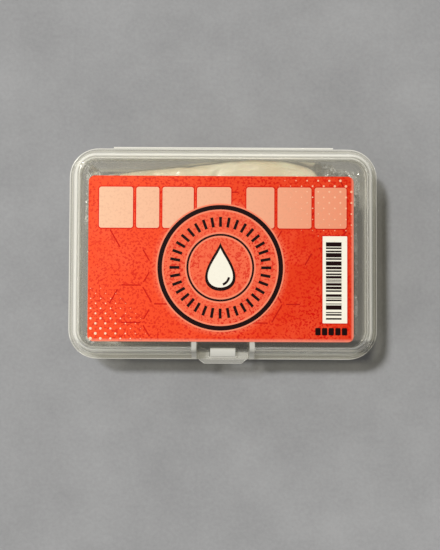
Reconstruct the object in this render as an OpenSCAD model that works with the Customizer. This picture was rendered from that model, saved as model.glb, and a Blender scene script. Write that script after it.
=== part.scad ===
// Detailing clay bar wrapped in film, packed in a hinged polypropylene case with a label on its lid.
// Millimetres. The origin is the middle of the surface that the case stands on.
// +X runs along the case's length, +Y points from the latch to the hinge, and +Z is up.

/* [Case] */
// Length of the rim, outside
case_l = 95; // [92:1:110]
// Width of the rim, outside
case_w = 65; // [62:1:75]
// Height of the closed case
case_h = 22; // [22:0.5:26]
// Height at which the base and the lid meet
seam_z = 14; // [13.5:0.5:14.5]
// Corner radius of the rim, seen from above
corner_r = 9; // [8.5:0.5:11]
// Wall of the moulding
wall = 1.2; // [1:0.05:1.25]

/* [Rim] */
// Thickness of the flange on the base and on the lid
flange_t = 1.3; // [1.2:0.05:1.4]
// How far the base's flange turns down at its outer edge
bead_drop = 1.3; // [0.8:0.1:1.8]
// Height of the lip that centres the lid
lip_h = 1.2; // [0.8:0.1:1.3]
// Gap between the lid and the base along the seam
seam_gap = 0.1; // [0.05:0.05:0.15]

/* [Latch] */
// Width of the pocket that the latch tab lies in
pocket_w = 16; // [14:0.2:20]
// Depth of that pocket, from the rim's edge to its back wall
pocket_d = 5; // [4.9:0.05:5.2]
// Thickness of the rib on each side of the pocket
rib_t = 1.5; // [1.2:0.1:2.5]
// How far the thumb lip stands out past the rim
lip_out = 1.3; // [0.8:0.1:1.5]
// Width of the catch boss that stands up through the tab
boss_w = 7.8; // [6:0.2:9]

/* [Hinge] */
// Length of the living hinge
hinge_l = 68; // [50:1:72]
// Thickness of the hinge web
web_t = 0.35; // [0.25:0.05:0.4]

/* [Label] */
// Length of the label
label_l = 80; // [70:1:81]
// Width of the label
label_w = 50; // [44:1:50.5]
// Thickness of the label's stock with its laminate
label_t = 0.25; // [0.15:0.05:0.4]
// Corner radius of the label
label_r = 1.8; // [1:0.1:3]
// Offset of the label's middle from the case's middle
label_at = [-0.7, -1.9]; // [-2:0.1:2]

/* [Clay] */
// Thickness of the clay bar
clay_t = 16.8; // [14:0.1:17]
// How far the clay's top and bottom edges are rounded in
clay_round = 2.6; // [1:0.1:3.5]
// Thickness of the wrapping film, with its folds
film_t = 0.25; // [0.2:0.05:0.3]

/* [Hidden] */
$fn = 64;
eps = 0.01;

pp_clear = [0.86, 0.87, 0.83, 0.45];
label_red = [0.93, 0.24, 0.13];
clay_cream = [0.90, 0.83, 0.66];
film_clear = [0.90, 0.92, 0.92, 0.3];

// Case sections are drawn in [s, z]: s is 0 at the rim's edge and negative towards the middle.
floor_t = wall + 0.1;
foot_h = 0.4;                          // the underside is hollowed by this, inside a foot that runs all round
foot_s = -7.6;                         // inner edge of that foot
gate_r = 1.1;
gate_h = 0.25;
base_s = [-3.4, -2.5];                 // outer face of the base's wall, low and high
base_fillet = 1.8;
inner_fillet = 1.2;
bead_t = 0.9;
bead_r = 0.3;
rim_r = [0.4, 0.35, 0.5];              // rounding of the base's top edge, the lid's bottom edge and its top edge
lip_s = [-3.7, -3.05];                 // inner and outer face of the centring lip
lip_r = 0.2;
dome_s = [-1.7, -2.3];                 // outer face of the lid's wall, low and high
dome_fillet = 1.6;
dome_foot_r = 0.4;
dome_inner_r = 0.8;
lid_under_z = case_h - wall;           // underside of the lid's top
lid_z = seam_z + seam_gap;             // the lid's lowest surface
lid_flange_z = lid_z + flange_t;
bead_z = seam_z - flange_t - bead_drop;

// Living hinge: a web folded to half a ring behind the seam. It opens flat, so the lid turns about an
// axis that stands half the web's length out from the rim.
web_r = 0.3 + web_t / 2;
web_z = seam_z + seam_gap / 2;
hinge_axis_y = case_w / 2 + web_r * PI / 2;

// Latch: the tab turns about its root, which is the thin flexure at the pocket's back wall.
tab_t = 1;
tab_gap = 0.3;
tab_root_r = tab_t / 2;
tab_root_s = -pocket_d + tab_root_r + 0.1;
tab_z = seam_z + tab_gap;
boss_s = [-3.6, -0.9];
boss_h = 2.9;
barb_h = 1.5;

// Wrapped bar: it stands on the case's floor, with the film between.
film_gap = 0.15;                       // between the clay and the film
clay_z = floor_t + film_t + film_gap;
clay_corner_r = 5;
// Centres of the clay's rounded corners: its front and back edges lean, because it is cut by hand.
clay_corners = [[-28, -21.9], [-30, 18.6], [8, 22.3], [24.5, 21.8], [25.5, -18.5]];
fin_t = 0.6;                           // flattened film at the two ends of the wrap
mouth_t = 0.2;                         // gap between the layers at its right-hand end, which is left open
fin_x = [-42.2, 42.2];
fin_y = [-23, 20];

function arc(c, r, a0, a1, n = 6) =
    [for (i = [0:n]) let (a = a0 + (a1 - a0) * i / n) [c[0] + r * cos(a), c[1] + r * sin(a)]];

// The base: foot, wall, flange with a turned-down bead, and the lip that centres the lid.
base_section = concat(
    [[-corner_r, foot_h], [foot_s, foot_h], [foot_s + foot_h, 0]],
    arc([base_s[0] - base_fillet, base_fillet], base_fillet, -90, 0, 8),
    [[base_s[1], seam_z - flange_t]],
    [[-bead_t, seam_z - flange_t]],
    arc([-bead_t + bead_r, bead_z + bead_r], bead_r, 180, 270, 3),
    arc([-bead_r, bead_z + bead_r], bead_r, 270, 360, 3),
    arc([-rim_r[0], seam_z - rim_r[0]], rim_r[0], 0, 90, 4),
    [[lip_s[1], seam_z]],
    arc([lip_s[1] - lip_r, seam_z + lip_h - lip_r], lip_r, 0, 90, 3),
    arc([lip_s[0] + lip_r, seam_z + lip_h - lip_r], lip_r, 90, 180, 3),
    arc([base_s[0] - wall - inner_fillet, floor_t + inner_fillet], inner_fillet, 0, -90, 6),
    [[-corner_r, floor_t]]
);

// The lid: flange, dome wall and top.
lid_section = concat(
    arc([-rim_r[1], lid_z + rim_r[1]], rim_r[1], -90, 0, 3),
    arc([-rim_r[2], lid_flange_z - rim_r[2]], rim_r[2], 0, 90, 5),
    arc([dome_s[0] + dome_foot_r, lid_flange_z + dome_foot_r], dome_foot_r, 270, 180, 4),
    arc([dome_s[1] - dome_fillet, case_h - dome_fillet], dome_fillet, 0, 90, 8),
    [[-corner_r, case_h], [-corner_r, lid_under_z]],
    arc([dome_s[1] - wall - dome_inner_r, lid_under_z - dome_inner_r], dome_inner_r, 90, 0, 5),
    [[dome_s[0] - wall, lid_z]]
);

// The rib beside the latch pocket follows the dome and runs down to the rim.
rib_section = concat(
    [[-pocket_d - wall, lid_z], [-rim_r[2], lid_z]],
    arc([-0.7, lid_flange_z + 0.9], 0.6, 0, 55, 4),
    arc([dome_s[1] - dome_fillet, case_h - dome_fillet], dome_fillet, 25, 90, 6),
    [[-pocket_d - wall, case_h]]
);

boss_section = [
    [boss_s[0], seam_z - eps], [boss_s[0], seam_z + boss_h - 0.3], [boss_s[0] + 0.3, seam_z + boss_h],
    [boss_s[0] + 1.4, seam_z + boss_h], [boss_s[1], seam_z + 1.9], [boss_s[1], seam_z + barb_h],
    [boss_s[1] - 0.25, seam_z + barb_h - 0.2], [boss_s[1] - 0.25, seam_z - eps]
];

// A plate or shell with the case's plan: the section runs round the rim, and a block fills the middle.
module around_case(section, z0, z1) {
    half = [case_l / 2 - corner_r, case_w / 2 - corner_r];
    for (i = [0:3]) {
        sx = i == 0 || i == 3 ? 1 : -1;
        sy = i < 2 ? 1 : -1;
        translate([sx * half[0], sy * half[1], 0]) rotate(90 * i)
            rotate_extrude(angle = 90) translate([corner_r, 0]) polygon(section);
        run = i % 2 == 0 ? half[1] : half[0];
        out = i % 2 == 0 ? case_l / 2 : case_w / 2;
        rotate(90 * i) translate([out, run, 0]) rotate([90, 0, 0])
            linear_extrude(2 * run) polygon(section);
    }
    translate([-half[0], -half[1], z0]) cube([2 * half[0], 2 * half[1], z1 - z0]);
}

// Extrudes a section in [s, z] along the front rim.
module along_front(x0, x1)
    translate([x1, -case_w / 2, 0]) rotate([90, 0, -90]) linear_extrude(x1 - x0) children();

module rounded_plate(size, r, h) {
    translate([-size[0] / 2 + r, -size[1] / 2, 0]) cube([size[0] - 2 * r, size[1], h]);
    translate([-size[0] / 2, -size[1] / 2 + r, 0]) cube([size[0], size[1] - 2 * r, h]);
    for (x = [-1, 1], y = [-1, 1])
        translate([x * (size[0] / 2 - r), y * (size[1] / 2 - r), 0]) cylinder(r = r, h = h);
}

module case_base() color(pp_clear) {
    lip_cut = pocket_w / 2 + rib_t + 0.4;
    difference() {
        around_case(base_section, foot_h, floor_t);
        along_front(-lip_cut, lip_cut)
            translate([lip_s[0] - 0.2, seam_z]) square([0.9 - lip_s[0] + lip_s[1], lip_h + 1]);
    }
    along_front(-boss_w / 2, boss_w / 2) polygon(boss_section);
    // What is left of the moulding gate, in the hollow of the underside.
    translate([0, 0, foot_h - gate_h]) cylinder(r = gate_r, h = gate_h + eps);
}

module case_lid() color(pp_clear) {
    outer = pocket_w / 2 + rib_t;
    difference() {
        union() {
            around_case(lid_section, lid_under_z, case_h);
            along_front(-outer, outer) polygon(rib_section);
        }
        along_front(-pocket_w / 2, pocket_w / 2)
            translate([-pocket_d, seam_z - 1]) square([pocket_d + 2, case_h]);
    }
}

module hinge_web() color(pp_clear)
    translate([-hinge_l / 2, case_w / 2, web_z]) rotate([90, 0, 90]) linear_extrude(hinge_l)
        intersection() {
            difference() {
                circle(r = web_r + web_t / 2);
                circle(r = web_r - web_t / 2);
            }
            translate([0, -2]) square([2, 4]);
        }

module latch_tab() color(pp_clear) {
    half = pocket_w / 2 - tab_gap;
    difference() {
        union() {
            translate([-half, -case_w / 2 - tab_root_s, tab_z + tab_root_r]) rotate([0, 90, 0])
                cylinder(r = tab_root_r, h = 2 * half);
            translate([0, -case_w / 2, tab_z]) linear_extrude(tab_t)
                polygon([[-half, -tab_root_s], [-half, 0.2], [-half + 0.3, -0.1],
                         [-half + 1.8, -lip_out + 0.2], [-half + 2.2, -lip_out],
                         [half - 2.2, -lip_out], [half - 1.8, -lip_out + 0.2],
                         [half - 0.3, -0.1], [half, 0.2], [half, -tab_root_s]]);
        }
        along_front(-boss_w / 2 - tab_gap, boss_w / 2 + tab_gap)
            translate([boss_s[0] - 0.25, seam_z]) square([boss_s[1] - boss_s[0] + 0.45, 3]);
    }
}

module lid_label() color(label_red)
    translate([label_at[0], label_at[1], case_h]) rounded_plate([label_l, label_w], label_r, label_t);

// The clay's plan, grown or shrunk by moving its corner arcs.
module clay_plan(grow = 0)
    hull() for (c = clay_corners) translate(c) circle(r = clay_corner_r + grow, $fn = 32);

// The clay's shape with softened edges, grown by an even amount all round.
module clay_slab(grow = 0) {
    h = clay_t + 2 * grow;
    translate([0, 0, clay_z - grow]) hull() {
        translate([0, 0, clay_round]) linear_extrude(h - 2 * clay_round) clay_plan(grow);
        translate([0, 0, clay_round * 0.25]) linear_extrude(h - clay_round * 0.5)
            clay_plan(grow - clay_round * 0.34);
        linear_extrude(h) clay_plan(grow - clay_round);
    }
}

module clay_bar() color(clay_cream) clay_slab();

// A level plate through the middle of the clay's height, from x0 to x1.
module mid_plate(x0, x1, margin, t)
    translate([x0, fin_y[0] + margin, clay_z + (clay_t - t) / 2])
        cube([x1 - x0, fin_y[1] - fin_y[0] - 2 * margin, t]);

// Film folded close round the clay, with its ends pressed flat.
module film_wrap() color(film_clear) {
    difference() {
        union() {
            clay_slab(film_gap + film_t);
            mid_plate(fin_x[0], fin_x[1], 0, fin_t);
        }
        clay_slab(film_gap);
        mid_plate(0, fin_x[1] + 1, 1, mouth_t);
    }
}

case_base();
case_lid();
hinge_web();
latch_tab();
lid_label();
clay_bar();
film_wrap();
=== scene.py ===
"""Looks of a detailing clay bar: a film-wrapped cream bar in a hinged translucent case with a red label."""
import math
import random

import bmesh
import bpy
from mathutils import Matrix, Vector, noise


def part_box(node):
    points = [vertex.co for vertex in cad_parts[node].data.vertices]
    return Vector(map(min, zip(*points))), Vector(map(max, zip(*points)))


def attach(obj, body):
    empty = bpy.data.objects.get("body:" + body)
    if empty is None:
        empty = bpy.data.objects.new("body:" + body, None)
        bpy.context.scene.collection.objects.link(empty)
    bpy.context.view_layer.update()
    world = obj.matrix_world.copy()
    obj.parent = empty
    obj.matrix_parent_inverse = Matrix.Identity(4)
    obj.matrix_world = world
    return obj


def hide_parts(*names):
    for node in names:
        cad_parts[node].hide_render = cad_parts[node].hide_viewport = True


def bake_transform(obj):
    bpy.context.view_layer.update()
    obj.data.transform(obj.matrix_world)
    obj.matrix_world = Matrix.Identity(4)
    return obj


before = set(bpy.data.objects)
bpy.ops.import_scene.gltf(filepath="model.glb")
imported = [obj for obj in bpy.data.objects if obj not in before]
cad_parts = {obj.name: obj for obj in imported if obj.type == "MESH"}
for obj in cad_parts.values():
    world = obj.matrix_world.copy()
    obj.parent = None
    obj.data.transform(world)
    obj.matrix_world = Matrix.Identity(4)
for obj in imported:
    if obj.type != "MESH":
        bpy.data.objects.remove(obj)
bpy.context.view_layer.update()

MM = 0.001
SCENE = bpy.context.scene
SCENE.view_settings.view_transform = "Standard"
SCENE.cycles.max_bounces = 20
SCENE.cycles.transmission_bounces = 20
SCENE.cycles.transparent_max_bounces = 40
SCENE.cycles.caustics_refractive = False
SCENE.cycles.caustics_reflective = False

# ---------------------------------------------------------------- sizes, in millimetres
lid_low, lid_high = (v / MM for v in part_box("case_lid"))
clay_low, clay_high = (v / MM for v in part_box("clay_bar"))
wrap_low, wrap_high = (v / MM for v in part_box("film_wrap"))
label_low, label_high = (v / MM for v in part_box("lid_label"))
tab_low, tab_high = (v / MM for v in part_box("latch_tab"))
web_low, web_high = (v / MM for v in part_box("hinge_web"))

CASE_L = lid_high.x - lid_low.x
CASE_W = lid_high.y - lid_low.y
CASE_H = lid_high.z
FRONT = -CASE_W / 2      # the front rim
CORNER_R = 9.0
WALL = 1.2
LID_Z = lid_low.z
SEAM_Z = LID_Z - 0.1
FLANGE_T = 1.3
CENTRE_S = -8.4          # how far in from the rim a section ends and a flat cap fills the middle
FLOOR_Z = 1.3
POCKET_W = 16.0
POCKET_D = 5.0
RIB_T = 1.5
BOSS_W = 7.8
BOSS_S = (-3.6, -0.9)    # where the catch boss starts and ends, in from the rim
LABEL_X = (label_low.x + label_high.x) / 2
LABEL_Y = (label_low.y + label_high.y) / 2
LABEL_L = label_high.x - label_low.x
LABEL_W = label_high.y - label_low.y
LABEL_TOP = label_high.z
INK_T = 0.02             # thickness of one layer of printing ink


# ---------------------------------------------------------------- outlines
def arc(x, y, r, start, end, steps=8):
    """Points of an arc, with angles in degrees."""
    turns = [math.radians(start + (end - start) * i / steps) for i in range(steps + 1)]
    return [(x + r * math.cos(a), y + r * math.sin(a)) for a in turns]


def rounded(corners, radius, steps=8):
    """The outline of a convex polygon whose corners, listed anticlockwise, are arc centres."""
    points = []
    for i, (x, y) in enumerate(corners):
        before, after = corners[i - 1], corners[(i + 1) % len(corners)]
        start = math.degrees(math.atan2(y - before[1], x - before[0])) - 90
        end = math.degrees(math.atan2(after[1] - y, after[0] - x)) - 90
        points += arc(x, y, radius, start, start + (end - start) % 360, steps)
    return points


def rounded_box(x0, y0, x1, y1, r, steps=5):
    """The outline of a rectangle with rounded corners."""
    return rounded([(x0 + r, y0 + r), (x1 - r, y0 + r), (x1 - r, y1 - r), (x0 + r, y1 - r)], r, steps)


def ease(value, low, high):
    """Rises smoothly from 0 at low to 1 at high."""
    t = max(0.0, min(1.0, (value - low) / (high - low)))
    return t * t * (3 - 2 * t)


def circle(x, y, r, steps=24):
    return arc(x, y, r, 0, 360 * (steps - 1) / steps, steps - 1)


# ---------------------------------------------------------------- mesh tools
def new_object(name, mesh):
    piece = bpy.data.objects.new(name, mesh)
    SCENE.collection.objects.link(piece)
    return piece


def from_bmesh(name, bm):
    bmesh.ops.recalc_face_normals(bm, faces=bm.faces)
    bmesh.ops.scale(bm, vec=(MM, MM, MM), verts=bm.verts)
    mesh = bpy.data.meshes.new(name)
    bm.to_mesh(mesh)
    bm.free()
    return new_object(name, mesh)


def loft(name, rings, closed_ends=True):
    """A mesh through rings of equal length, with flat caps."""
    bm = bmesh.new()
    loops = [[bm.verts.new(p) for p in ring] for ring in rings]
    count = len(loops[0])
    for a, b in zip(loops, loops[1:]):
        for i in range(count):
            bm.faces.new((a[i], a[(i + 1) % count], b[(i + 1) % count], b[i]))
    if closed_ends:
        bm.faces.new(loops[0])
        bm.faces.new(loops[-1])
    return from_bmesh(name, bm)


def swept_round_case(name, section):
    """Sweeps a section of (s, z) points round the case's rim. s is negative towards the middle."""
    half_l, half_w = CASE_L / 2 - CORNER_R, CASE_W / 2 - CORNER_R
    corners = [(-half_l, -half_w), (half_l, -half_w), (half_l, half_w), (-half_l, half_w)]
    return loft(name, [[(x, y, z) for x, y in rounded(corners, CORNER_R + s, 14)] for s, z in section])


def along_front(name, x0, x1, section):
    """Extrudes a section of (s, z) points along the front rim."""
    return loft(name, [[(x, FRONT - s, z) for s, z in section] for x in (x0, x1)])


def upright(name, outline, z0, z1):
    return loft(name, [[(x, y, z) for x, y in outline] for z in (z0, z1)])


def add_modifier(piece, kind, **settings):
    modifier = piece.modifiers.new(kind.lower(), kind)
    for key, value in settings.items():
        setattr(modifier, key, value)
    return modifier


def apply_modifiers(piece):
    graph = bpy.context.evaluated_depsgraph_get()
    mesh = bpy.data.meshes.new_from_object(piece.evaluated_get(graph))
    piece.modifiers.clear()
    piece.data = mesh


def cut(piece, operation, tool):
    """Joins or subtracts another mesh and removes it."""
    add_modifier(piece, "BOOLEAN", operation=operation, object=tool, solver="EXACT")
    apply_modifiers(piece)
    bpy.data.objects.remove(tool)


def finish_shell(piece, bevel, crease=50.0):
    """Rounds the hard edges and shades the rest smooth, with the flats kept flat."""
    add_modifier(piece, "BEVEL", width=bevel * MM, segments=3, limit_method="ANGLE",
                 angle_limit=math.radians(crease), miter_outer="MITER_ARC")
    apply_modifiers(piece)
    shade_smooth(piece, 40.0)
    add_modifier(piece, "WEIGHTED_NORMAL", keep_sharp=True, weight=80)
    apply_modifiers(piece)


def shade_smooth(piece, angle=180.0):
    for polygon in piece.data.polygons:
        polygon.use_smooth = True
    if angle < 180:
        piece.data.set_sharp_from_angle(angle=math.radians(angle))


def plate(name, outlines, z0, z1, bevel=0.0):
    """A flat piece cut to its outlines. An outline inside another one is a hole."""
    curve = bpy.data.curves.new(name, "CURVE")
    curve.dimensions = "2D"
    curve.fill_mode = "BOTH"
    curve.bevel_depth = bevel * MM
    curve.bevel_resolution = 3
    curve.offset = -bevel * MM
    curve.extrude = (z1 - z0 - 2 * bevel) * MM / 2
    for outline in outlines:
        spline = curve.splines.new("POLY")
        spline.points.add(len(outline) - 1)
        spline.use_cyclic_u = True
        for point, (x, y) in zip(spline.points, outline):
            point.co = (x * MM, y * MM, 0, 1)
    shape = new_object(name + "_outline", curve)
    shape.location.z = (z0 + z1) * MM / 2
    bpy.context.view_layer.update()
    graph = bpy.context.evaluated_depsgraph_get()
    mesh = bpy.data.meshes.new_from_object(shape.evaluated_get(graph))
    mesh.transform(shape.matrix_world)
    bpy.data.objects.remove(shape)
    bm = bmesh.new()
    bm.from_mesh(mesh)
    bmesh.ops.remove_doubles(bm, verts=bm.verts, dist=1e-7)
    bmesh.ops.recalc_face_normals(bm, faces=bm.faces)
    bm.to_mesh(mesh)
    bm.free()
    piece = new_object(name, mesh)
    shade_smooth(piece, 40.0)
    return piece


def prisms(name, outlines, z0, z1):
    """One mesh of separate flat pieces, each with its own outline."""
    bm = bmesh.new()
    for outline in outlines:
        low = [bm.verts.new((x, y, z0)) for x, y in outline]
        high = [bm.verts.new((x, y, z1)) for x, y in outline]
        bm.faces.new(low)
        bm.faces.new(high)
        for i in range(len(outline)):
            j = (i + 1) % len(outline)
            bm.faces.new((low[i], low[j], high[j], high[i]))
    return from_bmesh(name, bm)


# ---------------------------------------------------------------- materials
class Shader:
    """A material's nodes. A keyword names an input; its value is a number, a colour or another output."""

    def __init__(self, name):
        self.material = bpy.data.materials.new(name)
        self.material.use_nodes = True
        self.tree = self.material.node_tree
        self.tree.nodes.clear()
        self.output = self.tree.nodes.new("ShaderNodeOutputMaterial")
        coordinates = self.node("TexCoord")
        self.place = coordinates.outputs["Object"]
        self.facing_z = self.node("SeparateXYZ", Vector=coordinates.outputs["Normal"]).outputs["Z"]

    def node(self, kind, settings=None, **inputs):
        made = self.tree.nodes.new("ShaderNode" + kind)
        for key, value in (settings or {}).items():
            setattr(made, key, value)
        for key, value in inputs.items():
            self.feed(made.inputs[key.replace("_", " ")], value)
        return made

    def feed(self, socket, value):
        if isinstance(value, bpy.types.NodeSocket):
            self.tree.links.new(value, socket)
        else:
            socket.default_value = value

    def noise(self, scale, detail=3.0, roughness=0.55):
        """Noise in the object's own metres, so a scale of 1000 has features about a millimetre wide."""
        return self.node("TexNoise", Scale=scale, Detail=detail, Roughness=roughness,
                         Vector=self.place).outputs[0]

    def ramp(self, value, low, high, to_low=0.0, to_high=1.0):
        made = self.node("MapRange", Value=value)
        made.inputs["From Min"].default_value = low
        made.inputs["From Max"].default_value = high
        made.inputs["To Min"].default_value = to_low
        made.inputs["To Max"].default_value = to_high
        return made.outputs["Result"]

    def math(self, operation, a, b=0.0):
        made = self.node("Math", {"operation": operation})
        self.feed(made.inputs[0], a)
        self.feed(made.inputs[1], b)
        return made.outputs[0]

    def mix(self, share, a, b):
        made = self.node("Mix", {"data_type": "RGBA"})
        self.feed(made.inputs[0], share)
        self.feed(made.inputs[6], a)
        self.feed(made.inputs[7], b)
        return made.outputs[2]

    def blend(self, share, a, b):
        made = self.node("MixShader")
        self.feed(made.inputs[0], share)
        self.feed(made.inputs[1], a)
        self.feed(made.inputs[2], b)
        return made.outputs[0]

    def lit_from(self):
        """1 for the rays that gather light for what lies behind, and 0 for the rays that see the surface."""
        path = self.node("LightPath")
        return self.math("MAXIMUM", path.outputs["Is Shadow Ray"], path.outputs["Is Diffuse Ray"])

    def bump(self, height, strength, distance):
        return self.node("Bump", Height=height, Strength=strength, Distance=distance).outputs[0]

    def show(self, surface):
        self.feed(self.output.inputs["Surface"], surface)
        return self.material


def rgb(red, green, blue):
    """A colour given in display values from 0 to 255."""
    def linear(v):
        v /= 255
        return v / 12.92 if v <= 0.04045 else ((v + 0.055) / 1.055) ** 2.4
    return (linear(red), linear(green), linear(blue), 1.0)


def polypropylene(name, flat_haze, edge_haze_and_highlight):
    """Clear moulded plastic: milkier where the boss and the ribs are thick, and on its rounded edges, where
    the milk is partly haze and partly painted highlight for the lights those edges reflect. Along the front
    fillet the milk thins towards the right as painted shade from the label.
    """
    s = Shader(name)
    flow = s.noise(220, 2.0)
    skin = s.node("BsdfPrincipled", Base_Color=(0.99, 0.985, 0.965, 1), IOR=1.49, Transmission_Weight=1.0,
                  Roughness=s.ramp(flow, 0.3, 0.7, 0.03, 0.07), Normal=s.bump(flow, 0.12, 0.0001))
    milk = s.node("AddShader")
    s.feed(milk.inputs[0], s.node("BsdfDiffuse", Color=(0.90, 0.885, 0.81, 1)).outputs[0])
    s.feed(milk.inputs[1], s.node("BsdfTranslucent", Color=(0.30, 0.295, 0.27, 1)).outputs[0])
    tilt = s.math("ABSOLUTE", s.facing_z)
    # Rounded edges: the milk here is partly the plastic's haze and partly painted highlight standing in for
    # the lights they reflect.
    haze = s.ramp(tilt, 0.99, 0.86, flat_haze, edge_haze_and_highlight)
    haze = s.math("MULTIPLY", haze, s.ramp(tilt, 0.05, 0.35, 0.2, 1.0))
    split = s.node("SeparateXYZ", Vector=s.place)
    off_x = s.math("ABSOLUTE", split.outputs["X"])
    front = s.ramp(split.outputs["Y"], (FRONT + 6.4) * MM, (FRONT + 5.6) * MM)
    off_flange = s.ramp(split.outputs["Y"], (FRONT + 2.0) * MM, (FRONT + 2.5) * MM)
    fillet = s.math("MULTIPLY", front, off_flange)
    # The front fillet gets less milk towards the right: painted shade, standing in for the label's shadow.
    painted_label_shade = s.math("MULTIPLY", fillet, s.ramp(split.outputs["X"], -38 * MM, -5 * MM, 0.35, 0.8))
    haze = s.math("MULTIPLY", haze, s.math("SUBTRACT", 1.0, painted_label_shade))
    rib_x = (POCKET_W + RIB_T) / 2
    rib = s.ramp(s.math("ABSOLUTE", s.math("SUBTRACT", off_x, rib_x * MM)), 0.95 * MM, 0.6 * MM, 0.0, 0.55)
    boss = s.ramp(off_x, (BOSS_W / 2 + 0.15) * MM, (BOSS_W / 2 - 0.15) * MM, 0.0, 0.8)
    boss = s.math("MULTIPLY", boss, s.ramp(split.outputs["Z"], (SEAM_Z + 1.2) * MM, (SEAM_Z + 1.8) * MM))
    boss = s.math("MULTIPLY", boss, s.ramp(split.outputs["Y"], (FRONT + 3.9) * MM, (FRONT + 3.7) * MM))
    haze = s.math("MAXIMUM", haze, s.math("MAXIMUM", s.math("MULTIPLY", front, rib), boss))
    wall = s.mix(s.ramp(split.outputs["Z"], 5 * MM, 10 * MM), (0.9, 0.89, 0.86, 1), (0.55, 0.54, 0.5, 1))
    shade = s.mix(s.ramp(tilt, 0.95, 0.4), (0.90, 0.895, 0.87, 1), wall)
    shade = s.node("BsdfTransparent", Color=shade).outputs[0]
    body = s.blend(haze, skin.outputs[0], milk.outputs[0])
    return s.show(s.blend(s.lit_from(), body, shade))


def clear_film():
    """Thin packing film: what is behind it shows, and its creases mirror the lights."""
    s = Shader("clear_film")
    crinkle = s.math("ADD", s.noise(420, 1.5, 0.5), s.math("MULTIPLY", s.noise(1300, 1.0), 0.08))
    off_x = s.math("ABSOLUTE", s.node("SeparateXYZ", Vector=s.place).outputs["X"])
    relief = s.math("MULTIPLY", crinkle, s.ramp(off_x, 0.026, 0.034, 0.3, 1.0))
    normal = s.bump(relief, 1.0, 0.0012)
    gloss = s.node("BsdfGlossy", Color=(0.98, 0.98, 0.96, 1), Roughness=s.ramp(crinkle, 0.4, 0.7, 0.04, 0.12),
                   Normal=normal).outputs[0]
    haze = s.node("BsdfDiffuse", Color=(0.92, 0.91, 0.86, 1), Normal=normal).outputs[0]
    clear = s.node("BsdfTransparent", Color=(0.985, 0.985, 0.98, 1)).outputs[0]
    # Streaks along the creases of the crushed ends turn whiter: partly crease whitening of the film, partly
    # painted highlight for the glints of its creases.
    ridge = s.math("ABSOLUTE", s.math("SUBTRACT", s.noise(330, 3.0, 0.6), 0.5))
    crushed_whitening_and_glints = s.math("MULTIPLY", s.ramp(ridge, 0.03, 0.005), s.ramp(off_x, 0.030, 0.035, 0.05, 1.0))
    crushed_whitening_and_glints = s.math("ADD", s.math("MULTIPLY", crushed_whitening_and_glints, 0.9), 0.03)
    mirror = s.node("LayerWeight", Blend=0.5, Normal=normal).outputs["Fresnel"]
    skin = s.blend(s.math("MINIMUM", mirror, 0.7), s.blend(crushed_whitening_and_glints, clear, haze), gloss)
    return s.show(s.blend(s.lit_from(), skin, clear))


def clay_material():
    """Cream detailing clay: a putty with a faint waxy sheen, mottled, with darker fine flecks."""
    s = Shader("detailing_clay")
    cloud = s.noise(90, 4.0, 0.6)
    fine = s.noise(900, 4.0, 0.65)
    colour = s.mix(s.ramp(cloud, 0.3, 0.72), rgb(236, 214, 171), rgb(255, 245, 215))
    colour = s.mix(s.ramp(fine, 0.55, 0.85, 0.0, 0.35), colour, rgb(205, 182, 128))
    relief = s.math("ADD", s.math("MULTIPLY", cloud, 1.0), s.math("MULTIPLY", fine, 0.35))
    skin = s.node("BsdfPrincipled", Base_Color=colour, Roughness=s.ramp(fine, 0.3, 0.8, 0.32, 0.5),
                  Subsurface_Weight=0.12, Subsurface_Scale=0.002, Normal=s.bump(relief, 0.35, 0.0004))
    return s.show(skin.outputs[0])


def label_paper():
    """Printed red stock: darker to the right, with a soft glow round the emblem and coarse print grain."""
    s = Shader("label_print")
    split = s.node("SeparateXYZ", Vector=s.place)
    x, y = split.outputs["X"], split.outputs["Y"]
    across = s.ramp(x, (LABEL_X - LABEL_L / 2) * MM, (LABEL_X + LABEL_L / 2) * MM)
    red = s.mix(across, (1.0, 0.084, 0.020, 1), (0.76, 0.036, 0.007, 1))
    red = s.mix(s.ramp(s.noise(110, 3.0), 0.45, 0.7, 0.0, 0.35), red, (1.0, 0.12, 0.045, 1))
    centre = s.node("CombineXYZ", X=(LABEL_X + EMBLEM[0]) * MM, Y=(LABEL_Y + EMBLEM[1]) * MM)
    flat = s.node("CombineXYZ", X=x, Y=y)
    reach = s.node("VectorMath", {"operation": "DISTANCE"})
    s.feed(reach.inputs[0], flat.outputs[0])
    s.feed(reach.inputs[1], centre.outputs[0])
    off_ring = s.math("SUBTRACT", reach.outputs["Value"], RING_R * MM)
    red = s.mix(s.ramp(off_ring, 0.3 * MM, 2.0 * MM, 0.45, 0.0), red, (1.0, 0.24, 0.12, 1))
    coarse = s.ramp(s.noise(1450, 2.0, 0.6), 0.53, 0.57, 0.0, 1.0)
    patchy = s.ramp(s.noise(60, 2.0), 0.3, 0.62, 0.55, 1.0)
    grain = s.math("MULTIPLY", coarse, s.math("MULTIPLY", patchy, s.ramp(across, 0.0, 1.0, 0.65, 1.0)))
    colour = s.mix(grain, red, (0.66, 0.003, 0.001, 1))
    right = s.ramp(x, (LABEL_X + LABEL_L / 2 - 1.0) * MM, (LABEL_X + LABEL_L / 2 - 0.3) * MM)
    low = s.ramp(y, (LABEL_Y - LABEL_W / 2 + 1.1) * MM, (LABEL_Y - LABEL_W / 2 + 0.3) * MM)
    colour = s.mix(s.math("MULTIPLY", s.math("MAXIMUM", right, low), 0.6), colour, (1.0, 0.38, 0.26, 1))
    colour = s.mix(s.ramp(s.facing_z, 0.1, 0.3), (0.80, 0.77, 0.71, 1), colour)
    skin = s.node("BsdfPrincipled", Base_Color=colour, Specular_IOR_Level=0.08, Roughness=0.5,
                  Normal=s.bump(s.noise(700, 2.0), 0.08, 0.0002))
    return s.show(skin.outputs[0])


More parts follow.
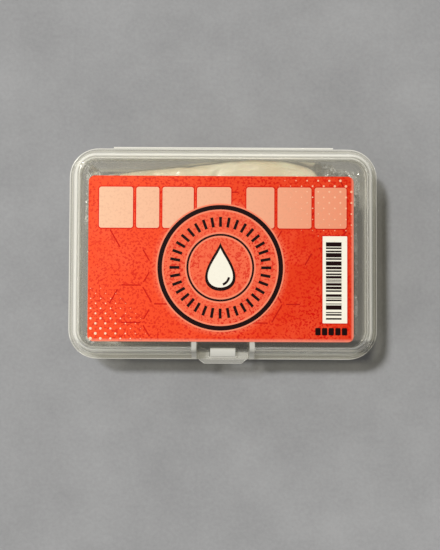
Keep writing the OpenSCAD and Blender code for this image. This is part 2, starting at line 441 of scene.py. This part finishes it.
def ink(name, left, right, worn=0.25):
    """A printed colour that runs from left to right across the label and is a little worn by the grain."""
    s = Shader(name)
    x = s.node("SeparateXYZ", Vector=s.place).outputs["X"]
    across = s.ramp(x, (LABEL_X - LABEL_L / 2) * MM, (LABEL_X + LABEL_L / 2) * MM)
    colour = s.mix(across, left, right)
    grain = s.ramp(s.noise(1400, 2.0, 0.6), 0.5, 0.66, 0.0, worn)
    dim = [0.75 * (a + b) / 2 for a, b in zip(left, right)]
    colour = s.mix(grain, colour, dim[:3] + [1.0])
    skin = s.node("BsdfPrincipled", Base_Color=colour, Specular_IOR_Level=0.08, Roughness=0.5)
    return s.show(skin.outputs[0])


def floor_material():
    s = Shader("floor")
    clouds = s.math("MULTIPLY", s.noise(30, 5.0, 0.65), 0.7)
    mottle = s.math("ADD", clouds, s.math("MULTIPLY", s.noise(900, 3.0), 0.3))
    tone = s.mix(s.ramp(mottle, 0.36, 0.64), (0.305, 0.305, 0.31, 1), (0.375, 0.375, 0.38, 1))
    skin = s.node("BsdfPrincipled", Base_Color=tone, Roughness=0.85, Specular_IOR_Level=0.2,
                  Normal=s.bump(mottle, 0.2, 0.0006))
    return s.show(skin.outputs[0])


def dress(piece, material, body=None, replaced=()):
    """Gives a piece its material and its place in the assembly."""
    piece.data.materials.clear()
    piece.data.materials.append(material)
    if body:
        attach(piece, body)
    if replaced:
        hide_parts(*replaced)
    return piece


# ---------------------------------------------------------------- case
def base_section():
    bead_z = SEAM_Z - 2 * FLANGE_T
    under_z = SEAM_Z - FLANGE_T
    return (
        [(CENTRE_S, 0.4), (-7.6, 0.4), (-7.2, 0.0)]
        + arc(-5.2, 1.8, 1.8, -90, 0, 10)
        + arc(-2.1, under_z - 0.4, 0.4, 180, 90, 5)
        + arc(-1.2, under_z - 0.3, 0.3, 90, 0, 4)
        + arc(-0.6, bead_z + 0.3, 0.3, 180, 270, 4)
        + arc(-0.3, bead_z + 0.3, 0.3, 270, 360, 4)
        + arc(-0.4, SEAM_Z - 0.4, 0.4, 0, 90, 6)
        + arc(-3.05 - 0.2, SEAM_Z + 1.0, 0.2, 0, 90, 4)
        + arc(-3.7 + 0.2, SEAM_Z + 1.0, 0.2, 90, 180, 4)
        + arc(-5.8, FLOOR_Z + 1.2, 1.2, 0, -90, 8)
        + [(CENTRE_S, FLOOR_Z)]
    )


def lid_section():
    flange_top = LID_Z + FLANGE_T
    return (
        [(CENTRE_S, CASE_H)]
        + arc(-3.9, CASE_H - 1.6, 1.6, 90, 0, 10)
        + arc(-1.3, flange_top + 0.4, 0.4, 180, 270, 5)
        + arc(-0.5, flange_top - 0.5, 0.5, 90, 0, 6)
        + arc(-0.35, LID_Z + 0.35, 0.35, 0, -90, 5)
        + [(-2.9, LID_Z)]
        + arc(-4.3, CASE_H - WALL - 0.8, 0.8, 0, 90, 6)
        + [(CENTRE_S, CASE_H - WALL)]
    )


def make_base(material):
    base = swept_round_case("case_base_shell", base_section())
    gap = POCKET_W / 2 + RIB_T + 0.4
    cut(base, "DIFFERENCE", along_front("lip_gap", -gap, gap, [
        (-3.9, SEAM_Z), (-2.9, SEAM_Z), (-2.9, SEAM_Z + 3), (-3.9, SEAM_Z + 3)]))
    s0, s1 = BOSS_S
    boss = [(s0, SEAM_Z - 0.4), (s0, SEAM_Z + 2.6), (s0 + 0.3, SEAM_Z + 2.9), (s0 + 1.4, SEAM_Z + 2.9),
            (s1, SEAM_Z + 1.9), (s1, SEAM_Z + 1.5), (s1 - 0.25, SEAM_Z + 1.3), (s1 - 0.25, SEAM_Z - 0.4)]
    cut(base, "UNION", along_front("boss", -BOSS_W / 2, BOSS_W / 2, boss))
    cut(base, "UNION", upright("gate", circle(0, 0, 1.1), 0.15, 0.6))
    finish_shell(base, 0.18)
    return dress(base, material, "base", ["case_base"])


def make_lid(material):
    lid = swept_round_case("case_lid_shell", lid_section())
    outer = POCKET_W / 2 + RIB_T
    flange_top = LID_Z + FLANGE_T
    rib = (
        [(-POCKET_D - WALL, LID_Z), (-0.5, LID_Z)]
        + arc(-0.7, flange_top + 0.9, 0.6, 0, 55, 5)
        + arc(-3.9, CASE_H - 1.6, 1.6, 25, 90, 6)
        + [(-POCKET_D - WALL, CASE_H)]
    )
    cut(lid, "UNION", along_front("rib_block", -outer, outer, rib))
    half = POCKET_W / 2
    pocket = rounded_box(-half, FRONT - 3, half, FRONT + POCKET_D, 0.7)
    cut(lid, "DIFFERENCE", upright("pocket", pocket, LID_Z - 2, CASE_H + 2))
    finish_shell(lid, 0.16)
    return dress(lid, material, "lid", ["case_lid"])


def make_latch(material):
    half, reach, root = tab_high.x, tab_low.y, tab_high.y
    outline = (
        [(-half, root), (-half, FRONT + 0.2)]
        + arc(-half + 2.2, reach + 0.9, 0.9, 215, 270, 5)
        + arc(half - 2.2, reach + 0.9, 0.9, 270, 325, 5)
        + [(half, FRONT + 0.2), (half, root)]
    )
    s0, s1 = BOSS_S
    window = rounded_box(-BOSS_W / 2 - 0.3, FRONT - s1 - 0.2, BOSS_W / 2 + 0.3, FRONT - s0 + 0.25, 0.3)
    tab = plate("latch_tab_moulded", [outline, window], tab_low.z, tab_high.z, 0.22)
    return dress(tab, material, "latch", ["latch_tab"])


def make_hinge(material):
    """The living hinge, folded to half a ring as when the case is shut."""
    middle_z = (web_low.z + web_high.z) / 2
    outer = (web_high.z - web_low.z) / 2
    inner = outer - 0.35
    y = web_low.y
    section = arc(y, middle_z, outer, -90, 90, 18) + arc(y, middle_z, inner, 90, -90, 18)
    strip = loft("hinge_strip", [[(x, py, pz) for py, pz in section] for x in (web_low.x, web_high.x)])
    shade_smooth(strip, 40.0)
    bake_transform(strip)
    return dress(strip, material, replaced=["hinge_web"])


# ---------------------------------------------------------------- label
EMBLEM = (-0.2, -2.7)    # the emblem's middle, from the label's middle
RING_R = 18.9
RING_T = 1.35
INNER_RING = (10.2, 9.6)
TICKS = (12.3, 15.3)     # where the ticks between the two rings start and end
HEADER_Y = (9.2, 21.6)   # where the header's blocks start and end in y
HEADER_BLOCKS = [(-36.8, -26.6), (-25.6, -18.7), (-17.7, -8.3), (-7.3, 3.0),
                 (7.6, 16.0), (17.0, 27.2), (28.2, 37.8)]    # and in x
PANEL = (30.6, -19.3, 38.0, 6.9)    # the white panel: its lowest x and y, then its highest
DOT_INSET = 0.9          # from the label's corner to the first dot's middle
MARGIN = 0.6             # bare stock that the honeycomb leaves along the label's edge
HEX_SIDE = 6.5
HEX_CENTRE = (21.7, -19.3)


def on_label(outline):
    return [(LABEL_X + x, LABEL_Y + y) for x, y in outline]


def printed(name, outlines, layer, material, lid_label, joined=False):
    """A flat print, on a layer counted up from the stock. Joined outlines cut holes in each other."""
    z = LABEL_TOP + (layer - 1) * INK_T
    outlines = [on_label(outline) for outline in outlines]
    piece = plate(name, outlines, z, z + INK_T) if joined else prisms(name, outlines, z, z + INK_T)
    dress(piece, material)
    piece.parent = lid_label


def halftone(corner, direction, pitch, reach, biggest):
    """Staggered dots that shrink away from a corner of the label, with the corner's own dot first."""
    dots = []
    for row in range(24):
        for column in range(16):
            x = DOT_INSET + pitch * (column + 0.5 * (row % 2))
            y = DOT_INSET + pitch * row / 2
            far = math.hypot(x / reach[0], y / reach[1])
            r = biggest * (1 - far) if far < 1 else 0
            if r > 0.07:
                dots.append(circle(corner[0] + direction[0] * x, corner[1] + direction[1] * y, r, 10))
    return dots


def honeycomb(width, share, seed):
    """Broken stretches of a honeycomb's outline, as thin bars that stop short of each other."""
    chance = random.Random(seed)
    bars = []
    for i in range(-7, 3):
        for j in range(-2, 5):
            cx = HEX_CENTRE[0] + i * 1.5 * HEX_SIDE
            cy = HEX_CENTRE[1] + (j + 0.5 * (i % 2)) * math.sqrt(3) * HEX_SIDE
            for k in range(3):
                ends = [(cx + HEX_SIDE * math.cos(a), cy + HEX_SIDE * math.sin(a))
                        for a in (math.radians(60 * k), math.radians(60 * k + 60))]
                start, stop = sorted((0.03 + 0.3 * chance.random() ** 2, 0.97 - 0.3 * chance.random() ** 2))
                kept = chance.random() < share
                p, q = (tuple(a + (b - a) * t for a, b in zip(*ends)) for t in (start, stop))
                reach_x, reach_y = max(abs(p[0]), abs(q[0])), max(abs(p[1]), abs(q[1]))
                if kept and reach_x < LABEL_L / 2 - MARGIN and reach_y < LABEL_W / 2 - MARGIN:
                    bars.append(bar(p, q, width))
    return bars


def bar(p, q, width):
    """A thin straight bar from one point to another."""
    dx, dy = q[0] - p[0], q[1] - p[1]
    length = math.hypot(dx, dy)
    nx, ny = -dy / length * width / 2, dx / length * width / 2
    return [(p[0] + nx, p[1] + ny), (p[0] - nx, p[1] - ny), (q[0] - nx, q[1] - ny), (q[0] + nx, q[1] + ny)]


def droplet(x, y, width, height, steps=48):
    """A drop with its point up."""
    points = []
    for i in range(steps):
        t = 2 * math.pi * i / steps
        across = width / 2 * math.sin(t) * math.sin(t / 2) ** 1.6 * 1.25
        points.append((x - across, y + height / 2 * math.cos(t)))
    return points


def ticks(count, r0, r1, width):
    """Marks all round the emblem, like those on a dial."""
    x, y = EMBLEM
    made = []
    for i in range(count):
        a = 2 * math.pi * i / count
        inner = (x + r0 * math.cos(a), y + r0 * math.sin(a))
        outer = (x + r1 * math.cos(a), y + r1 * math.sin(a))
        made.append(bar(inner, outer, width))
    return made


def code_bars(seed):
    """Bars of uneven height up the white panel. They encode nothing."""
    chance = random.Random(seed)
    bars, y = [], PANEL[1] + 1.1
    x0, x1 = PANEL[0] + 1.0, PANEL[2] - 1.7
    while y < PANEL[3] - 1.9:
        thick = chance.choice((0.25, 0.3, 0.5, 0.5, 0.8, 1.3))
        bars.append([(x0, y), (x1, y), (x1, y + thick), (x0, y + thick)])
        y += thick + chance.choice((0.25, 0.3, 0.45, 0.7))
    return bars


def make_label():
    outline = rounded_box(label_low.x, label_low.y, label_high.x, label_high.y, 1.8, 8)
    paper = label_paper()
    stock = plate("label_stock", [outline], label_low.z, label_high.z, 0.1)
    dress(stock, paper, "lid", ["lid_label"])

    dark_red = ink("ink_dark_red", (0.70, 0.012, 0.003, 1), (0.52, 0.008, 0.002, 1), 0.7)
    edge_red = ink("ink_edge_red", (0.80, 0.012, 0.002, 1), (0.62, 0.008, 0.001, 1))
    peach = ink("ink_peach", (1.0, 0.62, 0.40, 1), (0.86, 0.29, 0.16, 1))
    glow = ink("ink_glow", (1.0, 0.27, 0.15, 1), (0.97, 0.25, 0.14, 1))
    pale = ink("ink_pale", (1.0, 0.80, 0.56, 1), (0.95, 0.48, 0.29, 1))
    black = ink("ink_black", (0.010, 0.001, 0.001, 1), (0.010, 0.001, 0.001, 1), 0.1)
    white = ink("ink_white", (0.96, 0.92, 0.78, 1), (0.95, 0.90, 0.76, 1), 0.1)

    printed("print_honeycomb", honeycomb(0.4, 0.42, 7), 1, dark_red, stock)
    blocks = [rounded_box(x0, HEADER_Y[0], x1, HEADER_Y[1], 0.7) for x0, x1 in HEADER_BLOCKS]
    shades = [rounded_box(x0 - 0.3, HEADER_Y[0] - 0.3, x1 + 0.3, HEADER_Y[1] + 0.3, 0.9)
              for x0, x1 in HEADER_BLOCKS]
    printed("print_header_edge", shades, 2, edge_red, stock)
    printed("print_header_blocks", blocks, 3, peach, stock)
    dots = halftone((-LABEL_L / 2, -LABEL_W / 2), (1, 1), 3.0, (21, 20), 0.5)
    printed("print_dots_left", dots, 4, pale, stock)
    dots = halftone((LABEL_L / 2 + 0.2, LABEL_W / 2 - 0.4), (-1, -1), 3.35, (28, 26), 0.46)[1:]
    printed("print_dots_right", dots, 4, pale, stock)

    x, y = EMBLEM
    printed("print_disc", [circle(x, y, RING_R - 0.1, 96)], 5, paper, stock)
    halos = [circle(x, y, RING_R + 0.45, 128), circle(x, y, RING_R - RING_T - 0.5, 128),
             circle(x, y, INNER_RING[0] + 0.5, 96), circle(x, y, INNER_RING[1] - 0.5, 96)]
    printed("print_glow", halos, 6, glow, stock, True)
    rings = [circle(x, y, RING_R, 128), circle(x, y, RING_R - RING_T, 128),
             circle(x, y, INNER_RING[0], 96), circle(x, y, INNER_RING[1], 96)]
    printed("print_rings", rings, 7, black, stock, True)
    printed("print_ticks", ticks(36, *TICKS, 0.85), 7, black, stock)
    printed("print_drop_edge", [droplet(x, y + 0.3, 10.6, 14.6)], 7, black, stock)
    printed("print_drop", [droplet(x, y, 8.8, 12.0)], 8, white, stock)
    shine = arc(x - 0.2, y - 2.4, 3.2, 290, 350, 8) + arc(x - 0.2, y - 2.4, 2.5, 350, 290, 8)
    printed("print_drop_curve", [shine], 9, black, stock)

    frame_box = rounded_box(PANEL[0] - 0.3, PANEL[1] - 0.3, PANEL[2] + 0.3, PANEL[3] + 0.3, 0.2, 2)
    printed("print_panel_edge", [frame_box], 2, edge_red, stock)
    printed("print_panel", [rounded_box(*PANEL, 0.15, 2)], 3, white, stock)
    printed("print_bars", code_bars(11), 4, black, stock)
    words = [rounded_box(28.4 + 2.0 * i, -22.9, 30.0 + 2.0 * i, -20.7, 0.3, 2) for i in range(5)]
    printed("print_footer_blocks", words, 3, black, stock)


# ---------------------------------------------------------------- clay and its film
CLAY_CORNER_R = 5.0
CLAY_CORNERS = [(-28, -22.3), (25.5, -18.5), (24.5, 21.8), (8, 22.3), (-30, 18.6)]    # arc centres


def slab(name, grow, edge, z0, z1):
    """The clay's plan with rounded top and bottom edges, grown by an even amount."""
    rings = []
    profile = arc(0, z0 + edge, edge, -90, 0, 6) + arc(0, z1 - edge, edge, 0, 90, 6)
    for out, z in profile:
        plan = rounded(CLAY_CORNERS, CLAY_CORNER_R + grow + out - edge, 10)
        rings.append([(x, y, z) for x, y in plan])
    return loft(name, rings)


def remesh(piece, voxel):
    add_modifier(piece, "REMESH", mode="VOXEL", voxel_size=voxel * MM)
    apply_modifiers(piece)
    shade_smooth(piece)


def make_clay():
    clay = slab("clay_moulded", 0.15, 2.0, clay_low.z, clay_high.z - 0.05)
    remesh(clay, 0.7)
    add_modifier(clay, "SMOOTH", factor=0.5, iterations=3)
    apply_modifiers(clay)
    mesh = clay.data
    normals = [v.normal.copy() for v in mesh.vertices]
    for vertex, normal in zip(mesh.vertices, normals):
        p = vertex.co / MM
        lump = noise.noise(p * 0.075 + Vector((3, 1, 7)))
        dent = noise.noise(p * 0.24 + Vector((9, 4, 2)))
        crease = 1 - abs(noise.noise(Vector((p.x * 0.045, p.y * 0.22, p.z * 0.2)) + Vector((1, 8, 5))))
        move = 0.26 * lump + 0.14 * dent - 0.38 * max(0.0, crease - 0.92) / 0.08 - 0.05
        vertex.co += normal * max(-0.6, min(0.1, move)) * MM
        slump = ease(p.z, LID_Z, LID_Z + 1.8) * (1.1 + 0.3 * ease(p.x, -10, 10)) - 1.8 * ease(p.x, 17, 29)
        vertex.co.y += slump * ease(p.y, 12, 24) * MM
    shade_smooth(clay)
    return dress(clay, clay_material(), "bar", ["clay_bar"])


def span_at(x):
    """How far the clay's plan reaches in y at a given x, kept to where it is wide."""
    x = max(-29.0, min(26.0, x))
    outline = rounded(CLAY_CORNERS, CLAY_CORNER_R, 10)
    crossings = []
    for (x0, y0), (x1, y1) in zip(outline, outline[1:] + outline[:1]):
        if (x0 - x) * (x1 - x) <= 0 and x0 != x1:
            crossings.append(y0 + (y1 - y0) * (x - x0) / (x1 - x0))
    return min(crossings), max(crossings)


FILM_AROUND = (56, 14)   # points across the film's top or bottom, and up one side
FILM_STEPS = 100
FILM_GROW = 0.12         # how far the film starts from the clay
FLAT_T = 0.5             # its thickness where its ends are pressed flat
FILM_LEFT = (-34.4, -28.0, 28.0)    # where the left end leaves the clay, and its reach in y at its edge
FILM_RIGHT = (30.0, -25.0, 25.5)    # the same for the right end


def film_ring(x):
    """One ring of the film round the bar, nearly flat and a little wavy at both ends."""
    leaves, end_y0, end_y1 = FILM_RIGHT if x > 0 else FILM_LEFT
    beyond = max(abs(x) - abs(leaves), 0.0)
    closing = min(1.0, beyond / ((wrap_high.x - abs(leaves)) * 0.7))
    closing = closing * closing * (3 - 2 * closing)
    y0, y1 = span_at(x)
    y0 = (y0 - FILM_GROW) * (1 - closing) + end_y0 * closing
    y1 = (y1 + FILM_GROW) * (1 - closing) + end_y1 * closing
    middle = (clay_low.z + clay_high.z) / 2
    half = ((clay_high.z - clay_low.z) / 2 + FILM_GROW) * (1 - closing) + FLAT_T / 2 * closing
    edge = min(1.2, half * 0.9)
    across, side = FILM_AROUND
    ring = []
    for i in range(across):
        ring.append((x, y0 + edge + (y1 - y0 - 2 * edge) * i / (across - 1), middle - half))
    ring += [(x, y, z) for y, z in side_points(y1, middle, half, edge, 1, side)]
    for i in range(across):
        ring.append((x, y1 - edge - (y1 - y0 - 2 * edge) * i / (across - 1), middle + half))
    ring += [(x, y, z) for y, z in side_points(y0, middle, half, edge, -1, side)]
    made = []
    for x, y, z in ring:
        sway = noise.noise(Vector((0.3 * x, 0.16 * y, 4.0)))
        lift = 7.0 * ease(y, -2, 12) + 5.0 * ease(-y, 14, 24) if x < 0 else 6.5 * ease(y, 6, 22)
        made.append((x - 1.5 * closing * abs(noise.noise(Vector((2.0, 0.13 * y, 8.0)))) * math.copysign(1, x),
                     y, z + closing * (3.4 * sway + lift)))
    return made


def side_points(y, middle, half, edge, way, count):
    """Points up the film's side, or down its other side, between its rounded corners."""
    low = arc(y - way * edge, middle - way * (half - edge), edge, -90 * way, -90 * way + 90, 3)
    high = arc(y - way * edge, middle + way * (half - edge), edge, -90 * way + 90, -90 * way + 180, 3)
    path = low + high
    steps = [0.0]
    for a, b in zip(path, path[1:]):
        steps.append(steps[-1] + math.dist(a, b))
    made = []
    for i in range(1, count + 1):
        at = steps[-1] * i / (count + 1)
        k = max(j for j in range(len(path) - 1) if steps[j] <= at)
        share = (at - steps[k]) / max(steps[k + 1] - steps[k], 1e-9)
        made.append(tuple(a + (b - a) * share for a, b in zip(path[k], path[k + 1])))
    return made


SIM_SCALE = 20.0         # cloth is simulated this many times larger, because the solver suits metres
SIM_FRAMES = 26
SLACK = 0.08             # how much more film there is than a tight wrap would need
KEEP_IN = (4.3, 4.15)    # how far in from the rim the film stays, in x and in y


def crumple(film, clay):
    """Lets the slack film settle on the clay as cloth, so that its spare length buckles into creases."""
    body = clay.copy()
    body.data = clay.data.copy()
    body.parent = None
    SCENE.collection.objects.link(body)
    for piece in (film, body):
        piece.data.transform(Matrix.Scale(SIM_SCALE, 4))
    add_modifier(body, "COLLISION")
    body.collision.thickness_outer = 0.15 * MM * SIM_SCALE
    body.collision.cloth_friction = 8
    cloth = add_modifier(film, "CLOTH")
    settings = cloth.settings
    settings.quality = 6
    settings.mass = 0.08
    settings.tension_stiffness = 18
    settings.compression_stiffness = 18
    settings.shear_stiffness = 8
    settings.bending_stiffness = 0.08
    settings.shrink_min = -SLACK
    settings.use_pressure = True
    settings.uniform_pressure_force = -1.2
    settings.effector_weights.gravity = 0
    ends = film.vertex_groups.new(name="ends")
    far = max(abs(vertex.co.x) for vertex in film.data.vertices)
    held = [v.index for v in film.data.vertices if abs(v.co.x) > far - 1.3 * MM * SIM_SCALE]
    ends.add(held, 1.0, "REPLACE")
    settings.vertex_group_mass = "ends"
    cloth.collision_settings.distance_min = 0.12 * MM * SIM_SCALE
    cloth.collision_settings.use_self_collision = False
    cloth.point_cache.frame_end = SIM_FRAMES
    SCENE.frame_start, SCENE.frame_end = 1, SIM_FRAMES
    for number in range(1, SIM_FRAMES + 1):
        SCENE.frame_set(number)
    apply_modifiers(film)
    SCENE.frame_set(1)
    bpy.data.objects.remove(body)
    film.data.transform(Matrix.Scale(1 / SIM_SCALE, 4))


def keep_in_case(film):
    """Holds the film inside the closed case, clear of its walls, its round corners and the latch's pocket."""
    inner_l, inner_w, corner = CASE_L / 2 - KEEP_IN[0], CASE_W / 2 - KEEP_IN[1], CORNER_R - KEEP_IN[0]
    pocket = POCKET_W / 2 + RIB_T + 0.9
    for vertex in film.data.vertices:
        p = vertex.co / MM
        front = -inner_w
        if abs(p.x) < pocket and p.z > SEAM_Z - 2.4:
            front = FRONT + POCKET_D + WALL + 0.15
        p.x = max(-inner_l, min(inner_l, p.x))
        p.y = max(front, min(inner_w, p.y))
        off_x, off_y = abs(p.x) - inner_l + corner, abs(p.y) - inner_w + corner
        reach = math.hypot(off_x, off_y)
        if min(off_x, off_y) > 0 and reach > corner:
            p.x = math.copysign(inner_l - corner + off_x * corner / reach, p.x)
            p.y = math.copysign(inner_w - corner + off_y * corner / reach, p.y)
        p.z = max(FLOOR_Z + 0.05, min(wrap_high.z, p.z))
        vertex.co = p * MM


def make_film(clay):
    xs = [wrap_low.x + (wrap_high.x - wrap_low.x) * i / FILM_STEPS for i in range(FILM_STEPS + 1)]
    film = loft("film_crumpled", [film_ring(x) for x in xs], closed_ends=False)
    crumple(film, clay)
    keep_in_case(film)
    add_modifier(film, "SUBSURF", levels=1, render_levels=1)
    apply_modifiers(film)
    shade_smooth(film)
    dress(film, clear_film(), "bar", ["film_wrap"])


# ---------------------------------------------------------------- stage
CAMERA_DISTANCE = 0.2962            # in metres
CAMERA_FOCAL = 2.1825               # focal length as a share of the picture's width
CAMERA_TURN = (2.09, -0.31, 0.25)   # degrees about X, Y and Z, from looking straight down
CAMERA_AIM = (-0.94, -6.55, 14.9)   # where it looks, in millimetres


def make_camera():
    data = bpy.data.cameras.new("camera")
    data.sensor_fit = "HORIZONTAL"
    data.lens = CAMERA_FOCAL * data.sensor_width
    data.clip_start = 0.01
    camera = new_object("camera", data)
    x, y, z = (math.radians(a) for a in CAMERA_TURN)
    turn = Matrix.Rotation(z, 4, "Z") @ Matrix.Rotation(y, 4, "Y") @ Matrix.Rotation(x, 4, "X")
    back = turn @ Vector((0, 0, CAMERA_DISTANCE))
    camera.matrix_world = Matrix.Translation(Vector(CAMERA_AIM) * MM + back) @ turn
    SCENE.camera = camera


def sun(name, direction, strength, spread, tint):
    data = bpy.data.lights.new(name, "SUN")
    data.energy = strength
    data.angle = math.radians(spread)
    data.color = tint
    light = new_object(name, data)
    light.location = direction
    light.rotation_euler = Vector(direction).to_track_quat("Z", "Y").to_euler()


def make_stage():
    floor = plate("floor", [rounded_box(-9000, -9000, 9000, 9000, 10)], -1.1, -0.1)
    floor.data.materials.append(floor_material())
    world = bpy.data.worlds.new("studio")
    world.use_nodes = True
    SCENE.world = world
    tree = world.node_tree
    direction = tree.nodes.new("ShaderNodeTexCoord").outputs["Generated"]

    def brightness(along, low, high, to_low, to_high):
        """Light that changes evenly along a direction."""
        dot = tree.nodes.new("ShaderNodeVectorMath")
        dot.operation = "DOT_PRODUCT"
        dot.inputs[1].default_value = along
        tree.links.new(direction, dot.inputs[0])
        spread = tree.nodes.new("ShaderNodeMapRange")
        for key, value in (("From Min", low), ("From Max", high), ("To Min", to_low), ("To Max", to_high)):
            spread.inputs[key].default_value = value
        tree.links.new(dot.outputs["Value"], spread.inputs["Value"])
        return spread.outputs["Result"]

    product = tree.nodes.new("ShaderNodeMath")
    product.operation = "MULTIPLY"
    tree.links.new(brightness((0, 0, 1), 0.05, 0.95, 1.35, 0.45), product.inputs[0])
    tree.links.new(brightness((-0.8, 0.6, 0), -0.9, 0.9, 0.55, 1.45), product.inputs[1])
    background = tree.nodes["Background"]
    tree.links.new(product.outputs[0], background.inputs["Color"])
    background.inputs["Strength"].default_value = 0.32
    sun("key", (-0.41, 0.33, 1.0), 2.75, 7, (1.0, 0.99, 0.96))


plastic = polypropylene("polypropylene", 0.05, 0.72)
flexed = polypropylene("polypropylene_flexed", 0.2, 0.8)
make_camera()
make_stage()
make_base(plastic)
make_lid(plastic)
make_latch(flexed)
make_hinge(flexed)
make_label()
clay_piece = make_clay()
make_film(clay_piece)
